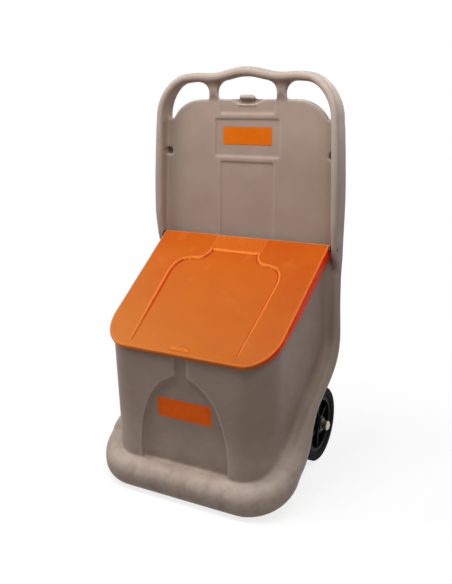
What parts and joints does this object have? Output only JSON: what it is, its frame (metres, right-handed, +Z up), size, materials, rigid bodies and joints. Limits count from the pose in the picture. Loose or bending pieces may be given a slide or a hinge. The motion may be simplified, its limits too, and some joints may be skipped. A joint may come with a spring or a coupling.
{
  "type": "wheeled grit bin",
  "caption": "Upright moulded grit bin with tapered tub, sloping hinged lid, tall back panel with side rails and top handle, and a wheel on each side at the back.",
  "frame": {"origin": "on the floor, in the middle of the flat foot between the wheels and the front", "axes": "+Z up, +X to the right-hand wheel seen from the front, front of the bin faces -Y"},
  "size_m": [0.534, 0.4986, 1.03],
  "materials": {
    "bin_plastic": "matt",
    "lid_plastic": "satin",
    "tyre_rubber": "matt",
    "rim_plastic": "satin",
    "bush_plastic": "matt",
    "steel": "zinc plated",
    "cap_metal": "bright"
  },
  "bodies": {
    "bin": {"bin_body": "bin_plastic", "axle": "steel", "hinge_pin_left": "steel", "hinge_pin_right": "steel", "hinge_washer_left": "bush_plastic", "hinge_washer_right": "bush_plastic", "wheel_washer_inner_left": "steel", "wheel_washer_inner_right": "steel", "wheel_washer_outer_left": "steel", "wheel_washer_outer_right": "steel", "axle_cap_left": "cap_metal", "axle_cap_right": "cap_metal"},
    "lid_leaf": {"lid": "lid_plastic"},
    "wheel_left": {"wheel_tyre_left": "tyre_rubber", "wheel_rim_left": "rim_plastic", "wheel_bush_left": "bush_plastic"},
    "wheel_right": {"wheel_tyre_right": "tyre_rubber", "wheel_rim_right": "rim_plastic", "wheel_bush_right": "bush_plastic"}
  },
  "joints": [
    {"name": "lid_hinge", "type": "hinge", "parent": "bin", "child": "lid_leaf", "pos_m": [0, 0.266, 0.593], "axis": [-1, 0, 0], "range_deg": [0, 123]},
    {"name": "wheel_left_turn", "type": "hinge", "parent": "bin", "child": "wheel_left", "pos_m": [0, 0.3226, 0.1], "axis": [1, 0, 0], "continuous": true},
    {"name": "wheel_right_turn", "type": "hinge", "parent": "bin", "child": "wheel_right", "pos_m": [0, 0.3226, 0.1], "axis": [1, 0, 0], "continuous": true}
  ]
}
